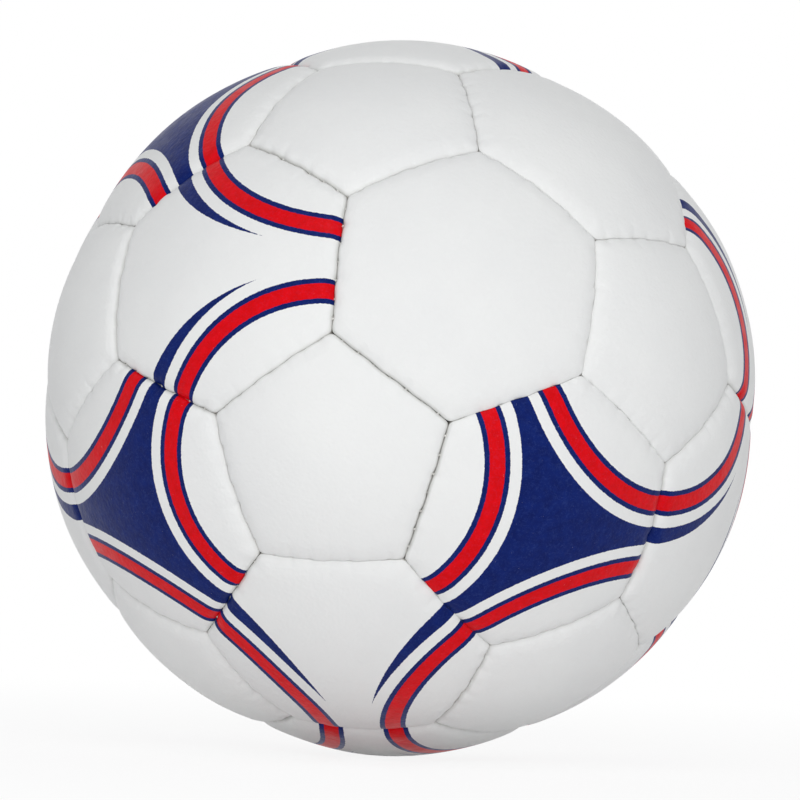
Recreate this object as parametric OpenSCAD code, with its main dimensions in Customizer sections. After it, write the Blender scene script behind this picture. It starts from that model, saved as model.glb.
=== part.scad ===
// Hand-stitched ball of twelve pentagon and twenty hexagon panels, with its linings, seam
// threads, bladder and valve. The origin is the ball's centre, and +Z points out of the valve.

/* [Ball] */
// Outside diameter, over the middles of the panels
ball_d = 175; // [165:1:195]
// How far the middle of a seam's two panel edges lies below the panels' middles
seam_drop = 1.4; // [0.8:0.1:2]
// Turn of the panels about the valve axis, in degrees
panel_turn = 26.5; // [0:0.5:120]

/* [Panels] */
// Thickness of the cover material
panel_t = 2.4; // [2:0.1:3]
// Radius at which a panel's edge rolls over into the seam
edge_r = 3; // [2.4:0.1:3.4]
// Thickness of the turned-in edge that the stitches go through
lip_t = 1.4; // [1:0.1:1.6]
// How far the turned-in edge reaches below the bottom of the seam's fold
lip_reach = 3.4; // [3:0.1:4]
// Space between the two turned-in edges of a seam
seam_gap = 0.06; // [0.04:0.01:0.1]

/* [Lining] */
// Thickness of the fabric glued to the back of a panel
lining_t = 1; // [0.6:0.1:1.4]
// Space between the lining's edge and the seam thread beside it
lining_gap = 0.4; // [0.3:0.1:0.6]

/* [Stitching] */
// Stitch holes along one seam
stitch_count = 7; // [5:1:9]
// Distance from a seam's corner to its first stitch hole
stitch_end = 3.2; // [3:0.1:4]
// How far the stitch line lies below the bottom of the seam's fold
stitch_depth = 1.2; // [1:0.1:1.5]
// Width of the flat waxed thread
thread_w = 0.8; // [0.7:0.05:0.9]
// Thickness of the flat waxed thread
thread_t = 0.5; // [0.4:0.05:0.6]
// Diameter of the thread where it is pulled tight through a hole
tight_d = 0.56; // [0.4:0.02:0.6]
// Space round the thread in its hole
hole_gap = 0.05; // [0.03:0.01:0.1]
// Space between the thread and the turned-in edge that it lies along
thread_gap = 0.04; // [0.02:0.01:0.08]

/* [Bladder] */
// Wall of the rubber bladder
bladder_t = 1; // [0.8:0.1:1.4]
// Space between the bladder and what it presses on
bladder_gap = 0.25; // [0.2:0.05:0.3]

/* [Valve] */
// Diameter of the hole in the valve panel
valve_hole_d = 8.6; // [8.4:0.1:10]
// Diameter of the boss of the valve housing that fills the hole
boss_d = 8; // [7.6:0.1:8.2]
// How far the top of the valve lies below the middle of its panel
valve_recess = 0.5; // [0.3:0.1:0.8]
// Diameter of the fabric patch round the valve
patch_d = 32; // [28:1:36]
// Thickness of the fabric patch
patch_t = 0.8; // [0.6:0.1:1]
// Diameter of the housing's flange
flange_d = 23; // [20:1:26]
// Thickness of the housing's flange
flange_t = 1.2; // [1:0.1:1.5]
// Diameter of the housing's barrel, inside the bladder
barrel_d = 10.4; // [9.8:0.1:12]
// Length of the barrel below the flange
barrel_l = 13; // [12:0.5:16]
// Diameter of the insert's body
insert_d = 5; // [4.6:0.1:5.2]
// Length of the insert below its head
insert_l = 13.5; // [12.5:0.1:14]
// Diameter of the insert's head
head_d = 6.4; // [6:0.1:6.6]
// Thickness of the insert's head
head_t = 0.9; // [0.7:0.1:1.1]
// Diameter of the bead that holds the insert in its housing
bead_d = 6.4; // [5.8:0.1:6.6]
// Space round the insert in its housing
insert_gap = 0.08; // [0.05:0.01:0.12]
// Diameter of the inflating needle's channel
needle_d = 2.1; // [2:0.1:2.4]
// Length of the channel's straight wall
needle_l = 9; // [7:0.5:10]
// Depth of the dimple that leads the needle in
dimple_h = 0.7; // [0.5:0.1:0.9]
// Diameter of the dimple at its mouth
dimple_d = 3.4; // [3:0.1:4]

/* [Hidden] */
// Facets of the large round forms and of the small ones
$fn = 120;
small_fn = 32;
// How far a cutting form runs past what it cuts
overrun = 1;
// How far a rolled edge's arc stands proud of the crown and bites into the seam, so that
// the two surfaces cross at a clear angle
roll_proud = 0.1;
roll_bite = 0.08;
// Extra turn of a rolled edge past each corner of its seam, in degrees
roll_turn = 4;
// Depth of a bladder pad's root in the bladder's round wall
pad_root = 0.4;

ball_r = ball_d / 2;
golden = (1 + sqrt(5)) / 2;

function unit(v) = v / norm(v);

// Pentagon axes: the corners of an icosahedron, with one of its faces turned to +Z
valve_dir = unit([1, 1, 1]);
side_dir = unit([1, -1, 0]);
front_dir = cross(valve_dir, side_dir);
function turned(v) = [
    v * side_dir * cos(panel_turn) - v * front_dir * sin(panel_turn),
    v * side_dir * sin(panel_turn) + v * front_dir * cos(panel_turn),
    v * valve_dir
];
pent_axes = [
    for (a = [-1, 1], b = [-golden, golden])
        for (v = [[0, a, b], [a, b, 0], [b, 0, a]])
            turned(unit(v))
];
last_pent = len(pent_axes) - 1;

// Two pentagons are neighbours where less than a right angle lies between their axes
function near(i, j) = i != j && pent_axes[i] * pent_axes[j] > 0;

// Corner of pentagon i that points to pentagon j
function corner(i, j) = unit(2 * pent_axes[i] + pent_axes[j]);

// Three pentagons that are neighbours of each other have a hexagon between them
hex_faces = [
    for (i = [0:last_pent], j = [i:last_pent], k = [j:last_pent])
        if (near(i, j) && near(j, k) && near(i, k)) [i, j, k]
];

// A panel is its number of sides, its axis and the direction of one of its corners
function panel(sides, axis, corner_dir) = [sides, axis, corner_dir];
function sides_of(p) = p[0];
function axis_of(p) = p[1];
function corner_of(p) = p[2];
pent_panels = [
    for (i = [0:last_pent])
        panel(5, pent_axes[i], corner(i, [for (j = [0:last_pent]) if (near(i, j)) j][0]))
];
hex_panels = [
    for (f = hex_faces)
        panel(6, unit(pent_axes[f[0]] + pent_axes[f[1]] + pent_axes[f[2]]), corner(f[0], f[1]))
];
last_hex = len(hex_panels) - 1;
highest_z = max([for (p = hex_panels) axis_of(p).z]);
valve_index = [for (n = [0:last_hex]) if (axis_of(hex_panels[n]).z == highest_z) n][0];
valve_side = hex_panels[valve_index];
function is_valve(p) = axis_of(p) == axis_of(valve_side);

// Each of the ball's seams once, as its two corners
hex_hex_seams = [
    for (i = [0:last_pent], j = [i:last_pent])
        if (near(i, j)) [corner(i, j), corner(j, i)]
];
hex_pent_seams = [
    for (f = hex_faces, n = [0:2])
        [corner(f[n], f[(n + 1) % 3]), corner(f[n], f[(n + 2) % 3])]
];

// Half of a seam, and the way from a panel's axis to a corner and to the middle of a seam,
// as angles at the ball's centre
half_turn = asin(1 / sqrt(1 + 9 * golden * golden));
function corner_tilt(sides) = asin(sin(half_turn) / sin(180 / sides));
function seam_tilt(sides) = atan(tan(corner_tilt(sides)) * cos(180 / sides));

// A panel's outside is part of a crown sphere, which is smaller than the ball and moved out
// along the panel's axis, so that it is highest in the middle. The shift puts the middle of
// each seam seam_drop below the ball's radius.
seam_r = ball_r - seam_drop;
function crown_shift(sides) =
    (ball_r * ball_r - seam_r * seam_r) / (2 * (ball_r - seam_r * cos(seam_tilt(sides))));

// Radii in a seam, from the top of the rolled edges down to the end of the turned-in lips
roll_top_r = seam_r + roll_proud;
roll_centre_r = roll_top_r - edge_r;
roll_side = edge_r - roll_bite;
fold_r = roll_centre_r + sqrt(edge_r * edge_r - roll_side * roll_side);
stitch_r = fold_r - stitch_depth;
lip_r = fold_r - lip_reach;

// Places across a seam, from its middle plane
rail_side = lip_t + thread_gap;
lining_side = rail_side + thread_t + lining_gap;

// Layers below the crown of a panel
lining_top = panel_t;
lining_end = lining_top + lining_t;
patch_end = lining_end + patch_t;
flange_end = patch_end + flange_t;
function pad_top(p) = (is_valve(p) ? flange_end : lining_end) + bladder_gap;

bladder_r = lip_r - bladder_gap;

// Stitches: the turn from a seam's middle to its last hole, and between holes, in degrees
stitch_turn = half_turn - asin(stitch_end / stitch_r);
stitch_step = 2 * stitch_turn / (stitch_count - 1);
rail_turn = stitch_turn + asin(thread_w / 2 / stitch_r);
hole_d = tight_d + 2 * hole_gap;

// Heights on the valve's axis
boss_top = ball_r - valve_recess;
flange_top = ball_r - patch_end;
barrel_bottom = flange_top - flange_t - barrel_l;
head_bottom = boss_top - head_t;
insert_bottom = head_bottom - insert_l;
bead_z = flange_top - flange_t - bead_d / 2;
needle_top = boss_top - dimple_h;

function two_digits(n) = str(n < 10 ? "0" : "", n);
function pent_name(n) = str("pentagon_panel_", two_digits(n + 1));
function hex_name(n) = n == valve_index ? "valve_panel" : str("hexagon_panel_", two_digits(n + 1));

// Turns local +Z to the axis of a panel and local +X towards one of its corners
module on_panel(p) {
    z = axis_of(p);
    x = unit(corner_of(p) - (corner_of(p) * z) * z);
    y = cross(z, x);
    multmatrix([[x.x, y.x, z.x, 0], [x.y, y.y, z.y, 0], [x.z, y.z, z.z, 0], [0, 0, 0, 1]]) children();
}

// Turns local +X to the middle of a seam, with the seam in the local XY plane
module on_seam(seam) {
    x = unit(seam[0] + seam[1]);
    z = unit(cross(seam[0], seam[1]));
    y = cross(z, x);
    multmatrix([[x.x, y.x, z.x, 0], [x.y, y.y, z.y, 0], [x.z, y.z, z.z, 0], [0, 0, 0, 1]]) children();
}

// The same at every seam of a panel whose axis is +Z, with local +Z into the panel
module at_panel_seams(sides) {
    for (n = [0:sides - 1])
        rotate((n + 1 / 2) * 360 / sides) rotate([0, seam_tilt(sides) - 90, 0]) children();
}

// Ball with its poles and its seam line away from +Z, where the panel is
module clear_sphere(r) {
    rotate([0, 90, 0]) sphere(r);
}

// Crown sphere of a panel, lowered by a depth
module crown(sides, depth) {
    translate([0, 0, crown_shift(sides)]) clear_sphere(ball_r - crown_shift(sides) - depth);
}

// All that lies past the seams of a panel, once these have moved in by a distance
module past_seams(sides, inset) {
    at_panel_seams(sides)
        translate([-ball_d, -ball_d, inset - ball_d]) cube([2 * ball_d, 2 * ball_d, ball_d]);
}

// What rolls a panel's edges over into its seams
module edge_rolls(sides) {
    turn = half_turn + roll_turn;
    at_panel_seams(sides)
        rotate(-turn) rotate_extrude(angle = 2 * turn)
            difference() {
                translate([roll_centre_r, -overrun])
                    square([edge_r + seam_drop + overrun, roll_side + overrun]);
                translate([roll_centre_r, roll_side]) circle(edge_r);
            }
}

// Forms placed at each stitch of a seam in the local XY plane
module at_stitches() {
    for (n = [0:stitch_count - 1])
        rotate(n * stitch_step - stitch_turn) translate([stitch_r, 0, 0]) children();
}

// Round hole or bar across a seam
module across_seam(length, d) {
    cylinder(h = length, d = d, center = true, $fn = small_fn);
}

// Hole for the valve's boss through what covers the bladder
module valve_hole() {
    cylinder(h = ball_d, d = valve_hole_d, $fn = small_fn);
}

// Cover panel: a crowned sheet with rolled edges and turned-in, stitched lips
module cover_panel(p) {
    sides = sides_of(p);
    color("white") on_panel(p) difference() {
        crown(sides, 0);
        clear_sphere(lip_r);
        difference() {
            crown(sides, panel_t);
            past_seams(sides, lip_t);
        }
        past_seams(sides, seam_gap / 2);
        edge_rolls(sides);
        at_panel_seams(sides) at_stitches() across_seam(2 * (lip_t + overrun), hole_d);
        if (is_valve(p)) valve_hole();
    }
}

// Fabric lining of one panel
module lining(p) {
    sides = sides_of(p);
    color("gainsboro") on_panel(p) difference() {
        crown(sides, lining_top);
        crown(sides, lining_end);
        past_seams(sides, lining_side);
        if (is_valve(p)) valve_hole();
    }
}

// Thread of one seam: a rail along each lip, joined to the other through every stitch hole
module seam_thread(seam) {
    color("ghostwhite") on_seam(seam) {
        for (side = [-rail_side - thread_t, rail_side])
            rotate(-rail_turn) rotate_extrude(angle = 2 * rail_turn)
                translate([stitch_r - thread_w / 2, side]) square([thread_w, thread_t]);
        at_stitches() across_seam(2 * rail_side + thread_t, tight_d);
    }
}

// One form of the bladder, outside or inside: a sphere with a pad that fills each panel
module bladder_form(wall) {
    sphere(bladder_r - wall);
    for (p = concat(pent_panels, hex_panels))
        on_panel(p) difference() {
            crown(sides_of(p), pad_top(p) + wall);
            clear_sphere(bladder_r - wall - pad_root);
            past_seams(sides_of(p), lining_side + wall);
        }
}

module bladder() {
    color("dimgray") difference() {
        bladder_form(0);
        bladder_form(bladder_t);
        cylinder(h = ball_d, d = barrel_d + 2 * insert_gap, $fn = small_fn);
    }
}

// Round piece of one layer below the valve panel
module valve_layer(top, bottom, d) {
    intersection() {
        difference() {
            crown(sides_of(valve_side), top);
            crown(sides_of(valve_side), bottom);
        }
        cylinder(h = ball_d, d = d, $fn = small_fn);
    }
}

// Fabric patch between the valve panel's lining and the housing's flange
module valve_patch() {
    color("beige") difference() {
        valve_layer(lining_end, patch_end, patch_d);
        valve_hole();
    }
}

// Cylinder on the valve's axis between two heights
module valve_bar(bottom, top, d) {
    translate([0, 0, bottom]) cylinder(h = top - bottom, d = d, $fn = small_fn);
}

// Ring with a round outside that swells from the insert's body
module bead(d) {
    translate([0, 0, bead_z]) rotate_extrude($fn = small_fn)
        intersection() {
            translate([insert_d / 4, 0]) circle(d = d - insert_d / 2, $fn = small_fn);
            translate([0, -d]) square(2 * d);
        }
}

// Rubber housing: flange on the bladder, boss up through the panel and barrel down inside
module valve_housing() {
    room = 2 * insert_gap;
    color("dimgray") difference() {
        union() {
            valve_layer(patch_end, flange_end, flange_d);
            valve_bar(barrel_bottom, flange_top - flange_t / 2, barrel_d);
            valve_bar(flange_top - flange_t, boss_top, boss_d);
        }
        valve_bar(insert_bottom - insert_gap, ball_r, insert_d + room);
        valve_bar(head_bottom - insert_gap, ball_r, head_d + room);
        bead(bead_d + room);
    }
}

// Rubber insert that closes round the needle
module valve_insert() {
    color("black") difference() {
        union() {
            valve_bar(insert_bottom, boss_top, insert_d);
            valve_bar(head_bottom, boss_top, head_d);
            bead(bead_d);
        }
        valve_bar(needle_top - needle_l, ball_r, needle_d);
        translate([0, 0, needle_top])
            cylinder(h = dimple_h, d1 = needle_d, d2 = dimple_d, $fn = small_fn);
    }
}

for (n = [0:last_pent])
    cover_panel(pent_panels[n]);
for (n = [0:last_hex])
    cover_panel(hex_panels[n]);
for (p = pent_panels) lining(p);  // pentagon_linings
for (p = hex_panels) lining(p);  // hexagon_linings
for (seam = hex_hex_seams) seam_thread(seam);  // hexagon_seam_threads
for (seam = hex_pent_seams) seam_thread(seam);  // pentagon_seam_threads
bladder();
valve_patch();
valve_housing();
valve_insert();
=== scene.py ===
"""Dressed model of a hand-stitched handball: crowned leather panels with rolled edges, a
navy and red print, stitches that show in the seams, and finishes for all that lies inside."""

import math

import bmesh
import bpy
import numpy as np
from mathutils import Matrix, Vector


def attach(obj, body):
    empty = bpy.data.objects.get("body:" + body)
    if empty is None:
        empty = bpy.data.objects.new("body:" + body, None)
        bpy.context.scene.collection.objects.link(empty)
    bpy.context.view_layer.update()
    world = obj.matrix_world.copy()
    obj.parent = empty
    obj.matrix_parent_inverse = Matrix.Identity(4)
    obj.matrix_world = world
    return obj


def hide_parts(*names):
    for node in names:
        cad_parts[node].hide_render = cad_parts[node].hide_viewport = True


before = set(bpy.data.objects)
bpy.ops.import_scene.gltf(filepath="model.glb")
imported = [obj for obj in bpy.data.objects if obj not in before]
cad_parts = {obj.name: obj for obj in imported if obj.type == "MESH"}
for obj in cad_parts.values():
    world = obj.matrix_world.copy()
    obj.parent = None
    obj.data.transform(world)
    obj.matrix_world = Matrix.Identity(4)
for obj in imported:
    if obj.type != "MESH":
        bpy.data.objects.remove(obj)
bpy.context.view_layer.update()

bl_info = {
    "name": "Stitched handball",
    "version": (1, 0, 0),
    "blender": (4, 5, 0),
    "location": "3D View > Sidebar > Handball",
    "description": "Builds the covers, stitches, finishes and stage of a stitched handball",
    "category": "Object",
}

MM = 0.001
GOLDEN = (1 + math.sqrt(5)) / 2
# Half of a seam, as an angle at the ball's centre
HALF_TURN = math.asin(1 / math.sqrt(1 + 9 * GOLDEN * GOLDEN))
# The two hexagons without a print face this way: to the front, up and to the right
BARE_WAY = (0.36, -0.73, 0.58)
# Ways from which a seam takes its positive side, its phase and its looseness
SIDE_WAY = (0.31, 0.52, 0.79)
PHASE_WAY = (12.9, 78.2, 37.7)
PHASE_SPREAD = 40
LOOSE_WAY = (6.5, -8.0, 4.5)
LOOSE_PHASE = 0.7
# Phase from one stitch to the next, and the share of its pull that the slackest one keeps
STITCH_PHASE = 2.4
SLACKEST = 0.36
# Share of the stitches' step over which a stitch pulls
PULL_SHARE = 0.17
# Distance over which the nearest seam takes over from its neighbours
NEAR_REACH = 1.0 * MM
# Slow sway of a seam: its length and its share of the quick one
SLOW_SWAY = 6.3 * MM
SLOW_SHARE = 0.7
# Reach of the puckers and creases beside a seam, and where the dents of the crown begin
PUCKER_REACH = 1.9 * MM
CREASE_REACH = 2.2 * MM
DENT_START = 4.0 * MM
CREASE_DEPTH = 0.08 * MM
DENT_DEPTH = 0.05 * MM
# Lengths, in mm, of the waves that the dents and creases are made of
DENT_WAVES = (5.1, 6.7, 4.3, 7.9, 5.7, 8.3)
CREASE_WAVES = (0.75, 1.4, 0.85, 1.7)
# Rings of a cover's mesh: on the crown, up to the rounded edge, round it, and down the lip
CROWN_RINGS = 28
FLAT_RINGS = 5
ROUND_RINGS = 10
WALL_RINGS = 4
UNDER_RINGS = CROWN_RINGS // 2
# Vertices along a side at the seams, where the crown has CROWN_RINGS of them
EDGE_RAYS = 2 * CROWN_RINGS
# Distance from the seams at which the crown's rings end
EDGE_ZONE = 7.0 * MM
# Distance of a panel's middle from the seams, which is past the reach of its edge
MIDDLE_D = 30.0 * MM
# Width of an edge as a share of its setting, in the tightest and in the loosest seam
TIGHT_SHARE = 1.12
LOOSE_SHARE = 0.70
# Opening at the tightest seam's stitches, as a share of its setting
TIGHT_OPENING = 0.4
# Radius of the valve hole's rim, and how far inside the lips the underside's rings begin
RIM_R = 0.5 * MM
UNDER_MARGIN = 1.2 * MM
# Share of the way to the seams at which the underside's radius is taken
UNDER_SHARE = 0.9
# Shares of a ray between which a ring is sought, and how often they are halved
LEAST_SHARE = 0.3
MOST_SHARE = 1.06
HALVINGS = 26


# Settings


def length(name, description, default):
    """A setting in metres."""
    return bpy.props.FloatProperty(name=name, description=description, default=default, unit="LENGTH")


class HandballSizes(bpy.types.PropertyGroup):
    ball_d: length("Ball diameter", "Over the middles of the panels", 0.175)
    seam_drop: length("Seam drop", "How far the crown has fallen at the middle of a seam", 0.0014)
    panel_turn: bpy.props.FloatProperty(
        name="Panel turn",
        description="Turn of the panels about the valve axis",
        default=math.radians(26.5),
        unit="ROTATION",
    )
    panel_t: length("Cover thickness", "Thickness of the cover material", 0.0024)
    lip_t: length("Lip thickness", "Thickness of a turned-in edge", 0.0014)
    lip_r: length(
        "Lip radius", "Distance of the turned-in edges' ends from the ball's centre", 0.080488
    )
    seam_gap: length("Seam gap", "Space between two turned-in edges", 0.00006)
    edge_w: length("Edge width", "Width over which an edge rounds off", 0.0048)
    edge_h: length("Edge depth", "Depth of the rounded edge", 0.0018)
    corner_blend: length("Corner rounding", "Softness of a panel's corners", 0.00032)
    valve_hole_d: length("Valve hole", "Diameter of the hole for the valve", 0.0086)


class HandballStitching(bpy.types.PropertyGroup):
    count: bpy.props.IntProperty(name="Stitches", description="Stitches along one seam", default=7)
    end: length("First stitch", "Distance from a seam's corner", 0.0032)
    line_r: length(
        "Stitch line radius", "Distance of the stitch holes from the ball's centre", 0.082688
    )
    thread_d: length("Thread", "Thickness of the visible thread", 0.0005)
    span: length("Span", "Reach of a stitch to each side of its seam", 0.0007)
    sink: length("Sink", "Depth of a stitch below the crown at the seam", 0.0021)
    pucker: length("Pucker", "How far a stitch pulls the edges down", 0.0004)
    opening: length("Opening", "How far a stitch holds each edge off the seam", 0.00018)
    press: length("Press", "How far the edges of the tightest seam are pressed in", 0.0006)
    sway: length("Sway", "How far a seam sways between its stitches", 0.00013)


class HandballPrint(bpy.types.PropertyGroup):
    layout_turn: bpy.props.FloatProperty(
        name="Layout turn",
        description="Turn of the cube of stars about the first pentagon's axis",
        default=math.radians(72),
        unit="ROTATION",
    )
    star_r: length("Star radius", "Radius, on the ball, of the circles that bound the stars", 0.0462)
    ring_r: length("Ring radius", "Outer radius of the rings round the pentagons", 0.0434)
    ring_w: length("Ring width", "Width of a ring", 0.0062)
    ring_edge: length("Ring edge", "Width of a ring's navy edge", 0.00125)
    white: bpy.props.FloatVectorProperty(
        name="White", description="Cover", subtype="COLOR", default=(0.83, 0.835, 0.825)
    )
    navy: bpy.props.FloatVectorProperty(
        name="Navy",
        description="Stars and the edges of the rings",
        subtype="COLOR",
        default=(0.0008, 0.0085, 0.098),
    )
    red: bpy.props.FloatVectorProperty(
        name="Red", description="Middle of the rings", subtype="COLOR", default=(0.62, 0.0004, 0.0030)
    )


# Where the panels lie


def unit(vectors):
    vectors = np.asarray(vectors, float)
    return vectors / np.linalg.norm(vectors, axis=-1, keepdims=True)


def corner_tilt(sides):
    """Angle between a panel's axis and its corners."""
    return math.asin(math.sin(HALF_TURN) / math.sin(math.pi / sides))


def seam_tilt(sides):
    """Angle between a panel's axis and the middles of its seams."""
    return math.atan(math.tan(corner_tilt(sides)) * math.cos(math.pi / sides))


class Layout:
    """Axes, corners and neighbours of the twelve pentagons and twenty hexagons."""

    def __init__(self, turn, print_turn):
        valve, side = unit([1, 1, 1]), unit([1, -1, 0])
        front = np.cross(valve, side)
        rows = [
            v
            for a in (-1, 1)
            for b in (-GOLDEN, GOLDEN)
            for v in ((0, a, b), (a, b, 0), (b, 0, a))
        ]
        plain = unit(rows)
        across, deep, high = plain @ side, plain @ front, plain @ valve
        c, s = math.cos(turn), math.sin(turn)
        self.pents = np.stack([across * c - deep * s, across * s + deep * c, high], 1)
        self.near = (self.pents @ self.pents.T > 0) & ~np.eye(12, dtype=bool)
        count = range(12)
        self.faces = [
            (i, j, k)
            for i in count
            for j in range(i, 12)
            for k in range(j, 12)
            if self.near[i, j] and self.near[j, k] and self.near[i, k]
        ]
        self.hexes = unit([self.pents[list(f)].sum(0) for f in self.faces])
        self.valve = int(np.argmax(self.hexes[:, 2]))
        # Eight of the hexagons stand on the corners of a cube, and these have the stars
        along = np.abs(unit([plain[list(f)].sum(0) for f in self.faces]))
        cube = self.hexes[np.isclose(along.min(1), along.max(1))]
        spin = np.array(Matrix.Rotation(print_turn, 3, Vector(self.pents[0])))
        stars = set(np.argmax(cube @ spin.T @ self.hexes.T, axis=1))
        self.is_star = [h in stars for h in range(20)]
        self.bare = set(np.argsort(self.hexes @ BARE_WAY)[-2:])

    def corner(self, i, j):
        return unit(2 * self.pents[i] + self.pents[j])

    def partner(self, h):
        """The other hexagon that has no star and shares a seam with this one."""
        for other, face in enumerate(self.faces):
            if not self.is_star[other] and len(set(self.faces[h]) & set(face)) == 2:
                return other
        raise ValueError("a hexagon has no partner")

    def panels(self):
        """(name, sides, axis, corner direction, CAD node, hexagon number or None) of each panel."""
        rows = []
        for i, axis in enumerate(self.pents):
            corner = self.corner(i, np.flatnonzero(self.near[i])[0])
            name, node = f"pentagon_cover_{i + 1:02d}", f"pentagon_panel_{i + 1:02d}"
            rows.append((name, 5, axis, corner, node, None))
        for h, axis in enumerate(self.hexes):
            corner = self.corner(*self.faces[h][:2])
            name, node = f"hexagon_cover_{h + 1:02d}", f"hexagon_panel_{h + 1:02d}"
            if h == self.valve:
                name, node = "valve_cover", "valve_panel"
            rows.append((name, 6, axis, corner, node, h))
        return rows

    def seams(self):
        """The two corners of each of the ninety seams."""
        rows = [(self.corner(i, j), self.corner(j, i)) for i, j in np.argwhere(np.triu(self.near))]
        for a, b, c in self.faces:
            for i, j, k in ((a, b, c), (b, c, a), (c, a, b)):
                rows.append((self.corner(i, j), self.corner(i, k)))
        return rows


# The covers' meshes


def swing(low, high, phase):
    """A value that swings between low and high."""
    return (low + high) / 2 + (high - low) / 2 * np.sin(phase)


class Cover:
    """Surface of one panel. Distances are in metres, and dirs are unit vectors."""

    def __init__(self, sides, axis, corner, sizes, stitching):
        self.sides, self.axis, self.sizes, self.stitching = sides, axis, sizes, stitching
        x = unit(corner - (corner @ axis) * axis)
        y = np.cross(axis, x)
        turns = np.arange(sides) * 2 * math.pi / sides
        spread = np.outer(np.cos(turns), x) + np.outer(np.sin(turns), y)
        self.spokes = math.tan(corner_tilt(sides)) * spread
        ends = unit(axis + self.spokes)
        after = np.roll(ends, -1, axis=0)
        self.mids = unit(ends + after)
        self.normals = unit(np.cross(ends, after))
        self.normals *= np.sign(np.sum(self.normals * (self.mids - axis), 1))[:, None]
        # Both panels of a seam read the same sway, so each seam has one positive side
        self.signs = np.sign(self.normals @ SIDE_WAY)
        self.along = np.cross(self.normals * self.signs[:, None], self.mids)
        self.phases = PHASE_SPREAD * np.sin(self.mids @ PHASE_WAY)
        self.ball_r = sizes.ball_d / 2
        self.seam_r = self.ball_r - sizes.seam_drop
        # The crown is a smaller sphere, whose centre is shifted towards the panel
        rise = self.ball_r - self.seam_r * math.cos(seam_tilt(sides))
        self.shift = (self.ball_r**2 - self.seam_r**2) / (2 * rise)
        line_turn = HALF_TURN - math.asin(stitching.end / stitching.line_r)
        self.holes = np.linspace(-line_turn, line_turn, stitching.count) * self.seam_r
        self.step = self.holes[1] - self.holes[0]
        # Some seams are sewn loosely, and some stitches are drawn tighter than others
        self.loose = swing(0, 1, self.mids @ LOOSE_WAY + LOOSE_PHASE)
        stitch_phases = STITCH_PHASE * np.arange(stitching.count)
        self.tight = swing(SLACKEST, 1, self.phases[:, None] + stitch_phases)

    def crown(self, dirs, depth=0.0):
        """Radius of the crown, or of the surface that lies this deep below it."""
        c = dirs @ self.axis
        r = self.ball_r - self.shift - depth
        return self.shift * c + np.sqrt(r * r - self.shift**2 * (1 - c * c))

    def place_along(self, dirs):
        """Distance along each seam from its middle."""
        return self.seam_r * np.arctan2(dirs @ self.along.T, dirs @ self.mids.T)

    def pull(self, dirs):
        """How much each seam's nearest stitch pulls on a point, 0 to 1, per seam."""
        away = self.place_along(dirs)[:, :, None] - self.holes
        return (self.tight * np.exp(-((away / (PULL_SHARE * self.step)) ** 2))).sum(2)

    def distances(self, dirs, r):
        """Distance of the points at radius r from each seam's swaying middle plane."""
        place = self.place_along(dirs)
        # The sway dies out towards the seam's ends
        reach = np.clip(1 - np.abs(place) / (HALF_TURN * self.seam_r), 0, 1) ** 0.5
        flip = np.where(np.sin(self.phases) > 0, 0, math.pi)
        quick = np.sin(math.pi * (place - self.holes[0]) / self.step + flip)
        slow = np.sin(place / SLOW_SWAY + self.phases)
        sway = self.stitching.sway * reach * (quick + SLOW_SHARE * slow)
        return -r * (dirs @ self.normals.T) + self.signs * sway

    def inset(self, dirs, r):
        """Distance from the nearest seam, rounded where two seams meet."""
        d = self.distances(dirs, r)
        blend = self.sizes.corner_blend
        least = d.min(1)
        return least - blend * np.log(np.exp(-(d - least[:, None]) / blend).sum(1))

    def near_seams(self, dirs, values):
        """Mean of the values of the seams, where the nearest seam counts most."""
        weights = np.exp(-self.distances(dirs, self.seam_r) / NEAR_REACH)
        return (values * weights).sum(1) / weights.sum(1)

    def rays(self, per_side):
        """Ways from the axis's end to the outline of a flat polygon, evenly along each side."""
        shares = (np.arange(per_side) / per_side)[:, None]
        after = np.roll(self.spokes, -1, axis=0)
        return np.concatenate([a + shares * (b - a) for a, b in zip(self.spokes, after)])

    def ring(self, rays, target, r):
        """Share of each ray at which the inset at radius r is the target, and the dirs there."""
        low, high = np.full(len(rays), LEAST_SHARE), np.full(len(rays), MOST_SHARE)
        for _ in range(HALVINGS):
            middle = (low + high) / 2
            inside = self.inset(unit(self.axis + middle[:, None] * rays), r) > target
            low, high = np.where(inside, middle, low), np.where(inside, high, middle)
        share = (low + high) / 2
        return share, unit(self.axis + share[:, None] * rays)

    def relief(self, dirs, d):
        """How far the surface lies below the crown before the edge rounds off."""
        x, y, z = (dirs * self.ball_r / MM).T
        a, b, c, e, f, g = DENT_WAVES
        dents = np.sin(x / a + 1.3 * np.sin(y / b)) * np.sin(y / c + z / e)
        dents += np.sin(z / f - x / g + 0.7)
        a, b, c, e = CREASE_WAVES
        creases = np.sin(x / a + 2 * np.sin(y / b)) * np.sin(z / c + 2 * np.sin(x / e))
        puckers = self.stitching.pucker * self.near_seams(dirs, self.pull(dirs))
        return (
            puckers * np.exp(-d / PUCKER_REACH)
            + CREASE_DEPTH * (creases + 1) * np.exp(-d / CREASE_REACH)
            + DENT_DEPTH * (dents + 2) * (1 - np.exp(-d / DENT_START))
        )

    def hole_share(self, rays, radius):
        """Share of each ray at which it leaves a round hole in the panel's middle."""
        return math.tan(math.asin(radius / self.ball_r)) / np.linalg.norm(rays, axis=1)

    def crown_points(self, rays, share):
        dirs = unit(self.axis + share[:, None] * rays)
        d = np.maximum(self.inset(dirs, self.seam_r), 0)
        return dirs * (self.crown(dirs) - self.relief(dirs, d))[:, None]

    def under_points(self, rays, share):
        dirs = unit(self.axis + share[:, None] * rays)
        return dirs * self.crown(dirs, self.sizes.panel_t)[:, None]


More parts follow.
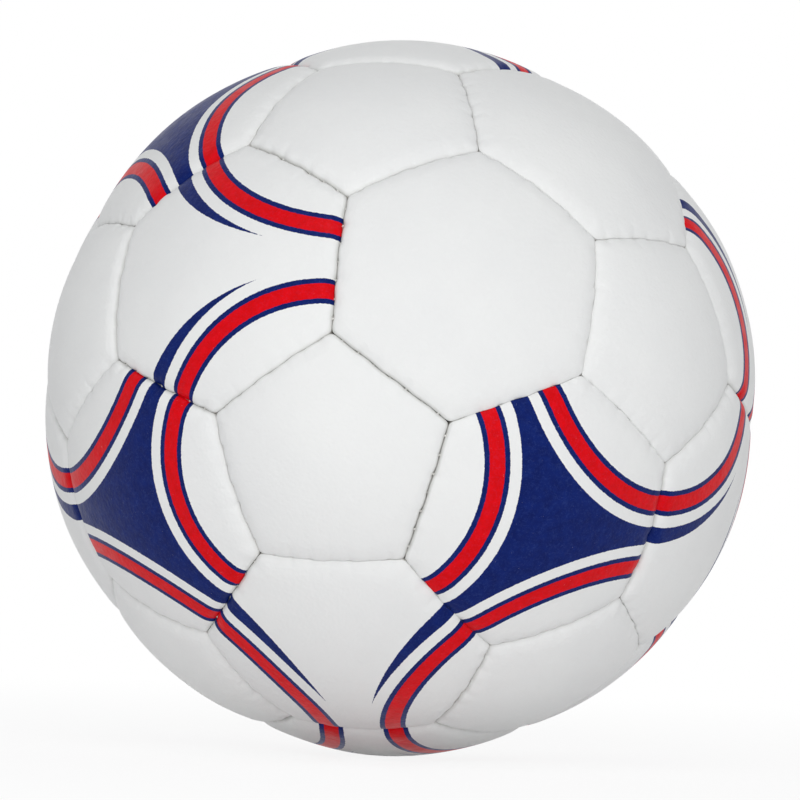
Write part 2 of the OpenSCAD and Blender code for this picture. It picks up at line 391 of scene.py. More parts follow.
class Skin:
    """Rings of vertices round a panel, and the strips of faces between them."""

    def __init__(self, sides):
        self.sides, self.points, self.faces = sides, [], []
        self.count, self.last = 0, None

    def add(self, points):
        """Adds a ring that nothing joins yet."""
        self.last = list(range(self.count, self.count + len(points)))
        self.points.append(points)
        self.count += len(points)

    def grow(self, points, finer=True):
        """Adds a ring with at least as many vertices as the last one, or at most, if not finer."""
        before = self.last
        self.add(points)
        if finer:
            self.join(before, self.last)
        else:
            self.join(self.last, before)

    def join(self, a, b):
        """Strip between ring a and ring b, which may have one vertex a side more, or twice as many."""
        n, m = len(a), len(b)
        na, nb = n // self.sides, m // self.sides
        if na == nb:
            self.faces += [(a[i], a[(i + 1) % n], b[(i + 1) % n], b[i]) for i in range(n)]
        elif nb == 2 * na:
            for i in range(n):
                p, q = a[i], a[(i + 1) % n]
                u, v, w = b[2 * i], b[2 * i + 1], b[(2 * i + 2) % m]
                self.faces += [(p, v, u), (p, q, v), (q, w, v)]
        elif nb == na + 1:
            for s in range(self.sides):
                for i in range(nb):
                    p = a[(s * na + i) % n] if na else a[0]
                    u, v = b[s * nb + i], b[(s * nb + i + 1) % m]
                    self.faces.append((p, v, u))
                    if i < na:
                        self.faces.append((p, a[(s * na + i + 1) % n], v))
        else:
            raise ValueError("two rings of a cover don't fit each other")


def add_crown(cover, skin, hole_r):
    """The crown, from the panel's middle or from the valve hole, whose rim is returned."""
    if not hole_r:
        middle = cover.axis[None]
        deep = cover.relief(middle, np.array([MIDDLE_D]))
        skin.add(middle * (cover.ball_r - deep)[:, None])
        for n in range(1, CROWN_RINGS + 1):
            # The outline of the innermost rings is the same rounded polygon, only smaller
            rays = cover.rays(n)
            share, _ = cover.ring(rays, EDGE_ZONE, cover.seam_r)
            skin.grow(cover.crown_points(rays, share * n / CROWN_RINGS))
        return None
    rays = cover.rays(CROWN_RINGS)
    edge, _ = cover.ring(rays, EDGE_ZONE, cover.seam_r)
    rim = None
    for turn in np.radians((90, 60, 30, 0)):
        share = cover.hole_share(rays, hole_r + RIM_R * (1 - math.sin(turn)))
        down = RIM_R * (1 - math.cos(turn))
        points = cover.crown_points(rays, share) * (1 - down / cover.ball_r)
        if rim is None:
            skin.add(points)
            rim = skin.last
        else:
            skin.grow(points)
    start = cover.hole_share(rays, hole_r + RIM_R)
    for n in range(1, CROWN_RINGS + 1):
        skin.grow(cover.crown_points(rays, start + (edge - start) * n / CROWN_RINGS))
    return rim


def add_edge(cover, skin):
    """The edge, which rounds off into the seam. Returns the radius at which it ends."""
    sizes, stitching = cover.sizes, cover.stitching
    gap = sizes.seam_gap / 2
    rays = cover.rays(EDGE_RAYS)
    # A loose seam has narrow edges, and in a tight one the edges press against each other
    _, outline = cover.ring(rays, gap, cover.seam_r)
    loose = cover.near_seams(outline, cover.loose)
    wide = sizes.edge_w * (TIGHT_SHARE + (LOOSE_SHARE - TIGHT_SHARE) * loose)
    press = stitching.press * (1 - loose)
    for d in np.linspace(EDGE_ZONE, wide + gap, FLAT_RINGS + 1)[1:]:
        share, _ = cover.ring(rays, d, cover.seam_r)
        skin.grow(cover.crown_points(rays, share))
    # The rounded edge is part of an ellipse, opened a little at each stitch
    opening = stitching.opening * (TIGHT_OPENING + loose)
    opening = opening * cover.near_seams(outline, cover.pull(outline))
    end = wide / (wide + press)
    for share in np.linspace(0, 1, ROUND_RINGS + 1)[1:]:
        turn = share * np.arcsin(end)
        inner = opening * (np.sin(turn) / end) ** 2
        d = gap + inner + (wide + press - inner) * (1 - np.sin(turn)) - press
        _, dirs = cover.ring(rays, d, cover.seam_r)
        r = cover.crown(dirs) - cover.relief(dirs, d) - sizes.edge_h * (1 - np.cos(turn))
        skin.grow(dirs * r[:, None])
    return float(r.mean())


def add_lip(cover, skin, fold_r):
    """The turned-in lip: outer wall, end and inner wall. Returns the underside's radius."""
    sizes = cover.sizes
    rays = cover.rays(EDGE_RAYS)
    for r in np.linspace(fold_r, sizes.lip_r, WALL_RINGS + 1)[1:]:
        _, dirs = cover.ring(rays, sizes.seam_gap / 2, r)
        skin.grow(dirs * r)
    rays = cover.rays(CROWN_RINGS)
    _, dirs = cover.ring(rays, sizes.lip_t, sizes.lip_r)
    skin.grow(dirs * sizes.lip_r, finer=False)
    under = cover.crown(unit(cover.axis + UNDER_SHARE * rays), sizes.panel_t).mean()
    half_way = (sizes.lip_r + under) / 2
    _, dirs = cover.ring(rays, sizes.lip_t, half_way)
    skin.grow(dirs * half_way)
    _, dirs = cover.ring(rays, sizes.lip_t, under)
    skin.grow(dirs * cover.crown(dirs, sizes.panel_t)[:, None])
    return under


def add_underside(cover, skin, under, hole_r, rim):
    """The underside, inwards to the valve hole's rim or to the panel's middle."""
    inner = cover.sizes.lip_t + UNDER_MARGIN
    rays = cover.rays(UNDER_RINGS)
    edge, _ = cover.ring(rays, inner, under)
    skin.grow(cover.under_points(rays, edge), finer=False)
    if hole_r:
        start = cover.hole_share(rays, hole_r)
        for n in range(UNDER_RINGS - 1, -1, -1):
            skin.grow(cover.under_points(rays, start + (edge - start) * n / UNDER_RINGS))
        skin.join(skin.last, rim)
        return
    for n in range(UNDER_RINGS - 1, 0, -1):
        rays = cover.rays(n)
        share, _ = cover.ring(rays, inner, under)
        skin.grow(cover.under_points(rays, share * n / UNDER_RINGS), finer=False)
    middle = cover.axis[None]
    skin.grow(middle * cover.crown(middle, cover.sizes.panel_t)[:, None], finer=False)


def new_object(name, mesh):
    obj = bpy.data.objects.new(name, mesh)
    bpy.context.scene.collection.objects.link(obj)
    return obj


def close_mesh(mesh):
    """Turns the faces of a closed mesh outwards and smooths all but its sharp edges."""
    bm = bmesh.new()
    bm.from_mesh(mesh)
    bmesh.ops.recalc_face_normals(bm, faces=bm.faces)
    bm.to_mesh(mesh)
    bm.free()
    mesh.polygons.foreach_set("use_smooth", np.ones(len(mesh.polygons), bool))
    mesh.set_sharp_from_angle(angle=math.radians(50))
    mesh.update()


def float_attribute(mesh, name, values):
    layer = mesh.attributes.new(name, "FLOAT", "POINT")
    layer.data.foreach_set("value", np.asarray(values, np.float32))


def finish_piece(obj, nodes=()):
    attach(obj, "root")
    if nodes:
        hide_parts(*nodes)


# Materials


# Attributes with a panel's distances, in mm, from its three pentagons' axes along the ball
ARCS = ("arc_a", "arc_b", "arc_c")
# How far the distances from two pentagons differ, in mm, where a stripe begins and where it is
# widest, and how much is cut off its point
STRIPE_RUN = (-18.0, 40.0)
STRIPE_END = 0.18
# Colours of the covers beside those of the settings
DIM_SHARES = (0.965, 0.965, 0.97)
# Colour of the painted shade in the seam grooves
SEAM_SHADE = (0.50, 0.50, 0.47)
PALE_NAVY = (0.002, 0.014, 0.135)
PALE_RED = (0.72, 0.0008, 0.006)
# Lighter ink on the grain's ripples, partly thinner ink and partly a painted sheen
THIN_INK_AND_SHEEN = (0.10, 0.17, 0.46)
BACKING = ((0.62, 0.60, 0.55), (0.74, 0.73, 0.69))


class Shader:
    """Short hand for the node tree of one material."""

    def __init__(self, name):
        self.material = bpy.data.materials.get(name) or bpy.data.materials.new(name)
        self.material.use_nodes = True
        self.tree = self.material.node_tree
        self.tree.nodes.clear()
        self.out = self.node("ShaderNodeOutputMaterial")
        self.bsdf = self.node("ShaderNodeBsdfPrincipled")
        self.link(self.bsdf.outputs["BSDF"], self.out.inputs["Surface"])
        self.coords = self.node("ShaderNodeTexCoord").outputs["Object"]

    def node(self, kind, **values):
        n = self.tree.nodes.new(kind)
        for key, value in values.items():
            setattr(n, key, value)
        return n

    def link(self, a, b):
        self.tree.links.new(a, b)

    def feed(self, socket, value):
        if isinstance(value, (int, float)):
            socket.default_value = value
        elif isinstance(value, (tuple, list)):
            socket.default_value = (*value[:3], 1.0) if len(socket.default_value) == 4 else value
        else:
            self.link(value, socket)

    def math(self, operation, a, b=0.0, clamp=False):
        n = self.node("ShaderNodeMath", operation=operation, use_clamp=clamp)
        self.feed(n.inputs[0], a)
        self.feed(n.inputs[1], b)
        return n.outputs[0]

    def ramp(self, value, low, high, to_low=0.0, to_high=1.0, smooth=False):
        way = "SMOOTHSTEP" if smooth else "LINEAR"
        n = self.node("ShaderNodeMapRange", interpolation_type=way)
        for socket, v in zip(n.inputs, (value, low, high, to_low, to_high)):
            self.feed(socket, v)
        return n.outputs[0]

    def mix(self, factor, a, b):
        n = self.node("ShaderNodeMix", data_type="RGBA")
        self.feed(n.inputs["Factor"], factor)
        self.feed(n.inputs[6], a)
        self.feed(n.inputs[7], b)
        return n.outputs[2]

    def noise(self, scale, detail=2.0, rough=0.5, distortion=0.0):
        n = self.node("ShaderNodeTexNoise")
        self.link(self.coords, n.inputs["Vector"])
        n.inputs["Scale"].default_value = scale
        n.inputs["Detail"].default_value = detail
        n.inputs["Roughness"].default_value = rough
        n.inputs["Distortion"].default_value = distortion
        return n.outputs["Fac"]

    def cells(self, scale, smooth):
        n = self.node("ShaderNodeTexVoronoi", feature="SMOOTH_F1")
        self.link(self.coords, n.inputs["Vector"])
        n.inputs["Scale"].default_value = scale
        n.inputs["Smoothness"].default_value = smooth
        return n.outputs["Distance"]

    def attribute(self, name):
        return self.node("ShaderNodeAttribute", attribute_name=name).outputs["Fac"]

    def bump(self, height, strength, distance):
        n = self.node("ShaderNodeBump")
        n.inputs["Strength"].default_value = strength
        n.inputs["Distance"].default_value = distance
        self.link(height, n.inputs["Height"])
        self.link(n.outputs["Normal"], self.bsdf.inputs["Normal"])

    def set(self, **values):
        for key, value in values.items():
            self.feed(self.bsdf.inputs[key.replace("_", " ")], value)


def ring_bands(sh, marks, arc):
    """Signed distances, in mm, of a ring's whole width and of its red middle."""
    off = sh.math("ABSOLUTE", sh.math("SUBTRACT", arc, (marks.ring_r - marks.ring_w / 2) / MM))
    band = sh.math("SUBTRACT", marks.ring_w / 2 / MM, off)
    return band, sh.math("SUBTRACT", band, marks.ring_edge / MM)


def most(sh, shapes):
    found = shapes[0]
    for shape in shapes[1:]:
        found = sh.math("MAXIMUM", found, shape)
    return found


def star_print(sh, marks, ball_r):
    """Signed distances, in mm, of the navy and the red in a panel with a star."""
    arcs = [sh.attribute(name) for name in ARCS]
    least = sh.math("MINIMUM", sh.math("MINIMUM", arcs[0], arcs[1]), arcs[2])
    star = sh.math("SUBTRACT", least, marks.star_r / MM)
    rings = [ring_bands(sh, marks, arc) for arc in arcs]
    return most(sh, [star] + [band for band, _ in rings]), most(sh, [red for _, red in rings])


def ring_print(sh, marks, ball_r):
    """The same in a panel with two rings and the stripes that run on from the stars."""
    arcs = [sh.attribute(name) for name in ARCS]
    # Half the width of a star's arm where it crosses a seam
    arm = (ball_r * (corner_tilt(5) + HALF_TURN) - marks.star_r) / MM
    rings, stripes = [], []
    for arc, other in ((arcs[0], arcs[1]), (arcs[1], arcs[0])):
        rings.append(ring_bands(sh, marks, arc))
        half = sh.ramp(sh.math("SUBTRACT", other, arcs[2]), *STRIPE_RUN, 0.0, arm)
        middle = sh.math("SUBTRACT", sh.math("SUBTRACT", arc, half), marks.star_r / MM)
        off = sh.math("ABSOLUTE", middle)
        stripes.append(sh.math("SUBTRACT", sh.math("SUBTRACT", half, off), STRIPE_END))
    return most(sh, stripes + [band for band, _ in rings]), most(sh, [red for _, red in rings])


def cover_material(name, marks, ball_r, draw=None):
    """Grained synthetic leather, white, with a print where one is drawn."""
    sh = Shader(name)
    pebble = sh.cells(scale=1050, smooth=0.6)
    swell = sh.noise(scale=330, detail=2, rough=0.55, distortion=0.6)
    fine = sh.noise(scale=2600, detail=3, rough=0.6)
    height = sh.math("ADD", sh.math("MULTIPLY", pebble, 0.5), sh.math("MULTIPLY", swell, 0.75))
    height = sh.math("ADD", height, sh.math("MULTIPLY", fine, 0.22))
    sh.bump(height, strength=0.55, distance=0.2 * MM)
    white = tuple(marks.white)
    dim = tuple(c * share for c, share in zip(white, DIM_SHARES))
    cover = sh.mix(sh.ramp(sh.noise(scale=28, detail=3, rough=0.6), 0.35, 0.65), white, dim)
    # Painted shade darkens the last part of a millimetre beside the seams, where the grooves lie in
    # shade, most of all in the loose seams
    seam_shade = sh.ramp(sh.attribute("from_seam"), 0.1, 0.8, 1.0, 0.0)
    seam_shade = sh.math("MULTIPLY", seam_shade, sh.ramp(sh.attribute("loose"), 0.0, 1.0, 0.03, 0.55))
    cover = sh.mix(seam_shade, cover, SEAM_SHADE)
    rough = sh.ramp(swell, 0.3, 0.7, 0.40, 0.52)
    if draw:
        navy, red = draw(sh, marks, ball_r)
        fray = sh.ramp(sh.noise(scale=1500, detail=2, rough=0.6), 0.3, 0.7, -0.07, 0.07)
        ink = sh.ramp(sh.math("ADD", navy, fray), -0.05, 0.05, smooth=True)
        core = sh.ramp(sh.math("ADD", red, fray), -0.05, 0.05, smooth=True)
        clouds = sh.ramp(sh.noise(scale=420, detail=3, rough=0.6), 0.35, 0.7)
        blue = sh.mix(clouds, tuple(marks.navy), PALE_NAVY)
        clouds = sh.ramp(sh.noise(scale=500, detail=3, rough=0.6), 0.35, 0.7)
        colour = sh.mix(core, blue, sh.mix(clouds, tuple(marks.red), PALE_RED))
        # The ink is painted lighter on the ripples of the grain, partly as thinner ink and partly as a
        # painted sheen on the grain, and is missing in a few flecks
        ripples = sh.noise(scale=1350, detail=2, rough=0.5, distortion=1.6)
        thin_ink_and_sheen = sh.ramp(ripples, 0.5, 0.72, 0.0, 0.09)
        thin_ink_and_sheen = sh.math("MULTIPLY", thin_ink_and_sheen, sh.ramp(core, 0.0, 1.0, 1.0, 0.4))
        colour = sh.mix(thin_ink_and_sheen, colour, THIN_INK_AND_SHEEN)
        fleck = sh.ramp(sh.noise(scale=1900, detail=3, rough=0.7), 0.70, 0.76, 0.0, 0.3)
        hold = sh.math("MULTIPLY", ink, sh.math("SUBTRACT", 1.0, fleck))
        cover = sh.mix(hold, cover, colour)
        rough = sh.math("SUBTRACT", rough, sh.math("MULTIPLY", ink, 0.05))
    # The lips and the underside show the cover's backing
    inside = sh.attribute("inside")
    backing = sh.mix(sh.ramp(sh.cells(scale=2400, smooth=0.3), 0.1, 0.6), *BACKING)
    cover = sh.mix(inside, cover, backing)
    rough = sh.math("ADD", rough, sh.math("MULTIPLY", inside, 0.35), clamp=True)
    sh.set(Base_Color=cover, Roughness=rough, Specular_IOR_Level=0.1)
    return sh.material


def weave_material(name, colour, dark, per_metre):
    """Plain weave, from waves along the three axes that cross."""
    sh = Shader(name)
    split = sh.node("ShaderNodeSeparateXYZ")
    sh.link(sh.coords, split.inputs[0])
    turns = 2 * math.pi * per_metre
    x, y, z = [sh.math("SINE", sh.math("MULTIPLY", axis, turns)) for axis in split.outputs]
    weave = sh.math("MULTIPLY", sh.math("ADD", x, y), sh.math("ADD", z, 1.2))
    fluff = sh.noise(scale=2200, detail=3, rough=0.6)
    height = sh.math("ADD", sh.math("MULTIPLY", weave, 0.25), fluff)
    sh.bump(height, strength=0.6, distance=0.2 * MM)
    tone = sh.ramp(sh.math("ADD", sh.math("MULTIPLY", weave, 0.12), fluff), 0.25, 0.8)
    sh.set(Base_Color=sh.mix(tone, dark, colour), Roughness=sh.ramp(fluff, 0.3, 0.7, 0.8, 0.95))
    sh.set(Sheen_Weight=0.2)
    return sh.material


def thread_material(name):
    """White waxed thread: twisted fibres, a little grey in their hollows."""
    sh = Shader(name)
    twist = sh.noise(scale=3800, detail=3, rough=0.7, distortion=1.2)
    sh.bump(twist, strength=0.5, distance=0.08 * MM)
    tone = sh.mix(sh.ramp(twist, 0.3, 0.7), (0.62, 0.61, 0.57), (0.88, 0.87, 0.84))
    sh.set(Base_Color=tone, Roughness=sh.ramp(twist, 0.3, 0.7, 0.45, 0.65), Sheen_Weight=0.1)
    return sh.material


def rubber_material(name, light, dark, grain, rough):
    """Moulded rubber with a fine skin and a trace of talc."""
    sh = Shader(name)
    skin = sh.noise(scale=grain, detail=4, rough=0.6)
    talc = sh.noise(scale=90, detail=4, rough=0.65)
    sh.bump(skin, strength=0.35, distance=0.1 * MM)
    sh.set(Base_Color=sh.mix(sh.ramp(talc, 0.35, 0.7), dark, light))
    sh.set(Roughness=sh.ramp(skin, 0.3, 0.7, rough - 0.06, rough + 0.08), Specular_IOR_Level=0.4)
    return sh.material


# The operators


class HANDBALL_OT_covers(bpy.types.Operator):
    """Builds the thirty-two cover panels"""

    bl_idname = "handball.covers"
    bl_label = "Cover panels"

    def execute(self, context):
        scene = context.scene
        sizes, stitching = scene.handball_sizes, scene.handball_stitching
        marks = scene.handball_print
        layout = Layout(sizes.panel_turn, marks.layout_turn)
        ball_r = sizes.ball_d / 2
        materials = {
            "plain": cover_material("cover_leather", marks, ball_r),
            "star": cover_material("cover_leather_star_print", marks, ball_r, star_print),
            "band": cover_material("cover_leather_ring_print", marks, ball_r, ring_print),
        }
        for name, sides, axis, corner, node, h in layout.panels():
            cover = Cover(sides, axis, corner, sizes, stitching)
            skin = Skin(sides)
            hole_r = sizes.valve_hole_d / 2 if h == layout.valve else 0.0
            rim = add_crown(cover, skin, hole_r)
            fold_r = add_edge(cover, skin)
            outside = skin.count
            under = add_lip(cover, skin, fold_r)
            add_underside(cover, skin, under, hole_r, rim)
            points = np.concatenate(skin.points)
            mesh = bpy.data.meshes.new(name)
            mesh.from_pydata(points.tolist(), [], skin.faces)
            close_mesh(mesh)
            dirs = unit(points)
            float_attribute(mesh, "from_seam", cover.inset(dirs, cover.seam_r) / MM)
            float_attribute(mesh, "loose", cover.near_seams(dirs, cover.loose))
            float_attribute(mesh, "inside", (np.arange(len(points)) >= outside).astype(float))
            look = "plain"
            if h is not None and h not in layout.bare:
                order = list(layout.faces[h])
                look = "star" if layout.is_star[h] else "band"
                if look == "band":
                    ends = set(order) & set(layout.faces[layout.partner(h)])
                    order.sort(key=lambda i: i not in ends)
                for key, i in zip(ARCS, order):
                    away = np.arccos(np.clip(dirs @ layout.pents[i], -1, 1))
                    float_attribute(mesh, key, away * ball_r / MM)
            mesh.materials.append(materials[look])
            obj = new_object(name, mesh)
            finish_piece(obj, [node])
        return {"FINISHED"}


# Straight pieces of a line of stitches, which runs along the ball
LINE_STEPS = 12
# A stitch: its rise as a share of the thread, its slant and the slant's least and greatest share
DROP_SHARE = 1.3
SLANT = math.radians(24)
SLANT_SHARES = (0.6, 1.3)
STITCH_SEED = 5
# Corners of a stitch's arc and of the thread's section
ARC_STEPS = 6
THREAD_SIDES = 6


class HANDBALL_OT_stitches(bpy.types.Operator):
    """Sews the stitches that show in the seams"""

    bl_idname = "handball.stitches"
    bl_label = "Stitches"

    def execute(self, context):
        scene = context.scene
        sizes, stitching = scene.handball_sizes, scene.handball_stitching
        layout = Layout(sizes.panel_turn, scene.handball_print.layout_turn)
        seam_r = sizes.ball_d / 2 - sizes.seam_drop
        path_r = seam_r - stitching.sink
        turn = HALF_TURN - math.asin(stitching.end / stitching.line_r)
        points, edges = [], []
        for a, b in layout.seams():
            mid, way = unit(a + b), unit(b - a)
            first = len(points)
            for t in np.linspace(-turn, turn, LINE_STEPS + 1):
                points.append((mid * math.cos(t) + way * math.sin(t)) * path_r)
            edges += [(first + n, first + n + 1) for n in range(LINE_STEPS)]
        mesh = bpy.data.meshes.new("seam_lines")
        mesh.from_pydata([tuple(p) for p in points], edges, [])
        lines = new_object("seam_lines", mesh)
        material = thread_material("waxed_thread")
        tree = stitch_tree(material)
        modifier = lines.modifiers.new("stitches", "NODES")
        modifier.node_group = tree
        values = {
            "Stitches": stitching.count,
            "Thread": stitching.thread_d / 2,
            "Span": stitching.span,
            "Drop": stitching.thread_d * DROP_SHARE,
            "Slant": SLANT,
            "Seed": STITCH_SEED,
        }
        for item in tree.interface.items_tree:
            if item.in_out == "INPUT" and item.name in values:
                modifier[item.identifier] = values[item.name]
        lines.update_tag()
        context.view_layer.update()
        graph = context.evaluated_depsgraph_get()
        made = bpy.data.meshes.new_from_object(lines.evaluated_get(graph))
        made.name = "seam_stitches"
        bpy.data.objects.remove(lines)
        if len(made.polygons) == 0:
            raise RuntimeError("the stitches came out empty")
        if not made.materials:
            made.materials.append(material)
        obj = new_object("seam_stitches", made)
        finish_piece(obj)
        return {"FINISHED"}


def stitch_tree(material):
    """Geometry nodes: stitches at even steps on each seam line, laid slantwise over it."""
    tree = bpy.data.node_groups.new("seam_stitching", "GeometryNodeTree")
    face = tree.interface
    face.new_socket("Geometry", in_out="INPUT", socket_type="NodeSocketGeometry")
    for name, kind in (
        ("Stitches", "Int"),
        ("Thread", "Float"),
        ("Span", "Float"),
        ("Drop", "Float"),
        ("Slant", "Float"),
        ("Seed", "Int"),
    ):
        face.new_socket(name, in_out="INPUT", socket_type=f"NodeSocket{kind}")
    face.new_socket("Geometry", in_out="OUTPUT", socket_type="NodeSocketGeometry")
    nodes, links = tree.nodes, tree.links

    def node(kind, **values):
        n = nodes.new(kind)
        for key, value in values.items():
            setattr(n, key, value)
        return n

    given, out = node("NodeGroupInput"), node("NodeGroupOutput")
    curve = node("GeometryNodeMeshToCurve")
    links.new(given.outputs["Geometry"], curve.inputs["Mesh"])
    even = node("GeometryNodeResampleCurve")
    links.new(curve.outputs["Curve"], even.inputs["Curve"])
    links.new(given.outputs["Stitches"], even.inputs["Count"])
    # One stitch: an arc of thread across the seam, highest in the middle
    arc = node("GeometryNodeCurveQuadraticBezier")
    arc.inputs["Resolution"].default_value = ARC_STEPS

    def times(value, factor):
        n = node("ShaderNodeMath", operation="MULTIPLY")
        links.new(value, n.inputs[0])
        if isinstance(factor, (int, float)):
            n.inputs[1].default_value = factor
        else:
            links.new(factor, n.inputs[1])
        return n.outputs[0]

    span, drop = given.outputs["Span"], given.outputs["Drop"]
    for side, socket in ((times(span, -1), "Start"), (span, "End")):
        end = node("ShaderNodeCombineXYZ")
        links.new(side, end.inputs["Y"])
        links.new(times(drop, -1), end.inputs["Z"])
        links.new(end.outputs[0], arc.inputs[socket])
    top = node("ShaderNodeCombineXYZ")
    links.new(drop, top.inputs["Z"])
    links.new(top.outputs[0], arc.inputs["Middle"])
    outline = node("GeometryNodeCurvePrimitiveCircle")
    outline.inputs["Resolution"].default_value = THREAD_SIDES
    links.new(given.outputs["Thread"], outline.inputs["Radius"])
    tube = node("GeometryNodeCurveToMesh")
    links.new(arc.outputs["Curve"], tube.inputs["Curve"])
    links.new(outline.outputs["Curve"], tube.inputs["Profile Curve"])
    tube.inputs["Fill Caps"].default_value = True
    # Local Z points away from the ball's centre, and local X along the seam
    place = node("GeometryNodeInputPosition")
    way = node("GeometryNodeInputTangent")
    up = node("FunctionNodeAlignRotationToVector", axis="Z")
    links.new(place.outputs[0], up.inputs["Vector"])
    along = node("FunctionNodeAlignRotationToVector", axis="X", pivot_axis="Z")
    links.new(up.outputs[0], along.inputs["Rotation"])
    links.new(way.outputs[0], along.inputs["Vector"])
    spread = node("FunctionNodeRandomValue", data_type="FLOAT")
    spread.inputs[2].default_value, spread.inputs[3].default_value = SLANT_SHARES
    links.new(given.outputs["Seed"], spread.inputs["Seed"])
    angle = node("ShaderNodeCombineXYZ")
    links.new(times(given.outputs["Slant"], spread.outputs[1]), angle.inputs["Z"])
    turn = node("FunctionNodeEulerToRotation")
    links.new(angle.outputs[0], turn.inputs[0])
    both = node("FunctionNodeRotateRotation", rotation_space="LOCAL")
    links.new(along.outputs[0], both.inputs[0])
    links.new(turn.outputs[0], both.inputs[1])
    sewn = node("GeometryNodeInstanceOnPoints")
    links.new(even.outputs["Curve"], sewn.inputs["Points"])
    links.new(tube.outputs["Mesh"], sewn.inputs["Instance"])
    links.new(both.outputs[0], sewn.inputs["Rotation"])
    real = node("GeometryNodeRealizeInstances")
    links.new(sewn.outputs["Instances"], real.inputs["Geometry"])
    smooth = node("GeometryNodeSetShadeSmooth")
    links.new(real.outputs["Geometry"], smooth.inputs["Geometry"])
    paint = node("GeometryNodeSetMaterial")
    paint.inputs["Material"].default_value = material
    links.new(smooth.outputs["Geometry"], paint.inputs["Geometry"])
    links.new(paint.outputs["Geometry"], out.inputs["Geometry"])
    return tree


class HANDBALL_OT_inner_finishes(bpy.types.Operator):
    """Gives linings, threads, bladder and valve their finishes"""

    bl_idname = "handball.inner_finishes"
    bl_label = "Inner finishes"

    def execute(self, context):
        lining = weave_material("lining_cotton", (0.80, 0.78, 0.72), (0.60, 0.58, 0.52), per_metre=900)
        thread = thread_material("waxed_thread_inside")
        given = {
            "pentagon_linings": lining,
            "hexagon_linings": lining,
            "hexagon_seam_threads": thread,
            "pentagon_seam_threads": thread,
            "bladder": rubber_material(
                "bladder_rubber", (0.075, 0.073, 0.07), (0.02, 0.02, 0.021), grain=1400, rough=0.62
            ),
            "valve_patch": weave_material(
                "patch_cotton", (0.74, 0.70, 0.58), (0.52, 0.48, 0.38), per_metre=1100
            ),
            "valve_housing": rubber_material(
                "valve_rubber", (0.62, 0.62, 0.60), (0.50, 0.50, 0.49), grain=1800, rough=0.50
            ),
            "valve_insert": rubber_material(
                "insert_rubber", (0.05, 0.05, 0.05), (0.018, 0.018, 0.019), grain=1600, rough=0.42
            ),
        }
        for node, look in given.items():
            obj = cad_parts[node]
            if not obj.material_slots:
                obj.data.materials.append(None)
            for place in obj.material_slots:
                place.material = look
        return {"FINISHED"}


FLOOR_R = 4.0
FLOOR_SIDES = 96
# Distances from the ball's foot between which the floor turns from shaded to white
SHADE_REACH = (0.12, 0.42)
SHADE_SHARE = 0.88
# Place, width, height and power of each lamp, and whether it shows in reflections, where the
# wide lamps would lay a haze over the dark print
LAMPS = {
    "front_lamp": ((0.27, -1.74, 0.35), 1.4, 1.4, 9.0, False),
    "low_lamp": ((-0.12, -1.49, 0.04), 1.1, 0.22, 3.8, False),
    "upper_lamp": ((-0.1, -0.9, 1.3), 0.6, 0.6, 2.4, True),
    "back_lamp": ((0.1, 1.8, 0.35), 1.4, 1.4, 11.0, False),
}
SKY = (0.97, 0.98, 1.0, 1)
SKY_STRENGTH = 0.5
# The camera, fitted to the photograph: its rise and lean, its distance, how far below the
# ball's centre it is aimed, and its focal length in pixels
CAMERA_RISE = math.radians(-0.657)
CAMERA_LEAN = math.radians(2.154)
CAMERA_FAR = 1.299
CAMERA_AIM = 0.46 * MM
FOCAL_PIXELS = 5310.194
PICTURE_PIXELS = 800
SENSOR_W = 36.0


def seen_by_eye(nodes, links):
    """1 for the rays that the eye follows, straight, mirrored or through something clear."""
    path = nodes.new("ShaderNodeLightPath").outputs
    seen = path["Is Camera Ray"]
    for key in ("Is Glossy Ray", "Is Transmission Ray"):
        n = nodes.new("ShaderNodeMath")
        n.operation = "MAXIMUM"
        links.new(seen, n.inputs[0])
        links.new(path[key], n.inputs[1])
        seen = n.outputs[0]
    return seen


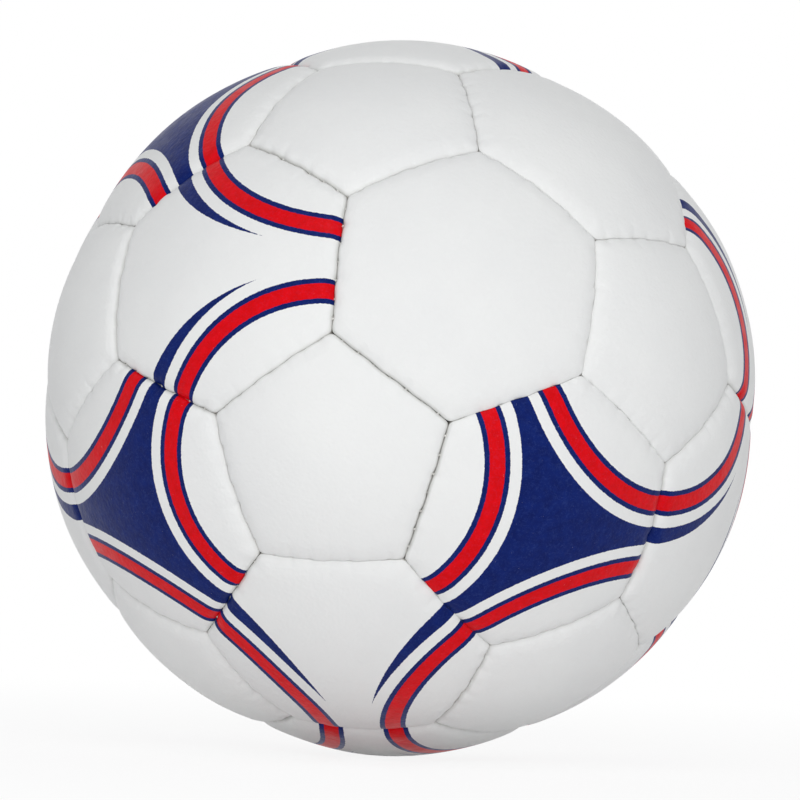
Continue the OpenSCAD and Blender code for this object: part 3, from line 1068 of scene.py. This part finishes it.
class HANDBALL_OT_stage(bpy.types.Operator):
    """Sets the floor, lamps, world and camera"""

    bl_idname = "handball.stage"
    bl_label = "Stage"

    def execute(self, context):
        scene = context.scene
        self.floor(scene.handball_sizes.ball_d / 2)
        self.lamps()
        self.world(scene)
        self.camera(scene)
        scene.view_settings.view_transform = "Standard"
        return {"FINISHED"}

    def floor(self, ball_r):
        mesh = bpy.data.meshes.new("floor")
        bm = bmesh.new()
        bmesh.ops.create_circle(bm, cap_ends=True, radius=FLOOR_R, segments=FLOOR_SIDES)
        bm.to_mesh(mesh)
        bm.free()
        mesh.transform(Matrix.Translation((0, 0, -ball_r)))
        sh = Shader("floor_white")
        pale = sh.mix(sh.noise(scale=3), (0.94, 0.94, 0.94), (0.96, 0.96, 0.96))
        sh.set(Base_Color=pale, Roughness=0.9)
        glow = sh.node("ShaderNodeEmission")
        reach = sh.node("ShaderNodeVectorMath", operation="LENGTH")
        sh.link(sh.coords, reach.inputs[0])
        share = sh.ramp(reach.outputs["Value"], *SHADE_REACH, SHADE_SHARE, 1.0, smooth=True)
        seen = seen_by_eye(sh.tree.nodes, sh.tree.links)
        blend = sh.node("ShaderNodeMixShader")
        sh.link(sh.math("MULTIPLY", seen, share), blend.inputs[0])
        sh.link(sh.bsdf.outputs[0], blend.inputs[1])
        sh.link(glow.outputs[0], blend.inputs[2])
        sh.link(blend.outputs[0], sh.out.inputs["Surface"])
        mesh.materials.append(sh.material)
        floor = new_object("floor", mesh)

    def lamps(self):
        for name, (place, width, height, power, in_reflections) in LAMPS.items():
            data = bpy.data.lights.new(name, "AREA")
            data.shape, data.energy = "ELLIPSE", power
            data.size, data.size_y = width, height
            lamp = new_object(name, data)
            turn = (-Vector(place)).to_track_quat("-Z", "Y").to_matrix().to_4x4()
            lamp.matrix_world = Matrix.Translation(place) @ turn
            lamp.visible_glossy = in_reflections

    def world(self, scene):
        world = bpy.data.worlds.new("studio")
        scene.world = world
        world.use_nodes = True
        nodes, links = world.node_tree.nodes, world.node_tree.links
        nodes.clear()
        out, mix = nodes.new("ShaderNodeOutputWorld"), nodes.new("ShaderNodeMixShader")
        soft, white = nodes.new("ShaderNodeBackground"), nodes.new("ShaderNodeBackground")
        soft.inputs["Color"].default_value = SKY
        soft.inputs["Strength"].default_value = SKY_STRENGTH
        white.inputs["Color"].default_value = (1, 1, 1, 1)
        links.new(seen_by_eye(nodes, links), mix.inputs[0])
        links.new(soft.outputs[0], mix.inputs[1])
        links.new(white.outputs[0], mix.inputs[2])
        links.new(mix.outputs[0], out.inputs["Surface"])

    def camera(self, scene):
        """Almost level with the ball's centre, leaning a little to one side."""
        back = Vector((0, -math.cos(CAMERA_RISE), math.sin(CAMERA_RISE)))
        right = Vector((1, 0, 0))
        up = back.cross(right) * math.cos(CAMERA_LEAN) - right * math.sin(CAMERA_LEAN)
        place = back * CAMERA_FAR
        back = (place + up * CAMERA_AIM).normalized()
        right = up.cross(back).normalized()
        up = back.cross(right)
        data = bpy.data.cameras.new("camera")
        data.sensor_width = SENSOR_W
        data.lens = SENSOR_W * FOCAL_PIXELS / PICTURE_PIXELS
        data.clip_start, data.clip_end = 0.05, 30
        obj = new_object("camera", data)
        turn = Matrix((right, up, back)).transposed().to_4x4()
        obj.matrix_world = Matrix.Translation(place) @ turn
        scene.camera = obj


class HANDBALL_PT_panel(bpy.types.Panel):
    """Lists the steps and their settings"""

    bl_idname = "HANDBALL_PT_panel"
    bl_label = "Handball"
    bl_space_type = "VIEW_3D"
    bl_region_type = "UI"
    bl_category = "Handball"

    def draw(self, context):
        for step in STEPS:
            self.layout.operator(step.bl_idname)
        for name in GROUPS:
            group = getattr(context.scene, name)
            box = self.layout.box()
            for key in group.bl_rna.properties.keys():
                if key not in ("rna_type", "name"):
                    box.prop(group, key)


GROUPS = {
    "handball_sizes": HandballSizes,
    "handball_stitching": HandballStitching,
    "handball_print": HandballPrint,
}
STEPS = (HANDBALL_OT_covers, HANDBALL_OT_stitches, HANDBALL_OT_inner_finishes, HANDBALL_OT_stage)


def register():
    for kind in (*GROUPS.values(), *STEPS, HANDBALL_PT_panel):
        bpy.utils.register_class(kind)
    for key, kind in GROUPS.items():
        setattr(bpy.types.Scene, key, bpy.props.PointerProperty(type=kind))


def unregister():
    for key in GROUPS:
        delattr(bpy.types.Scene, key)
    for kind in reversed((*GROUPS.values(), *STEPS, HANDBALL_PT_panel)):
        bpy.utils.unregister_class(kind)


def main():
    register()
    bpy.ops.handball.stage()
    bpy.ops.handball.covers()
    bpy.ops.handball.stitches()
    bpy.ops.handball.inner_finishes()


if __name__ == "__main__":
    main()
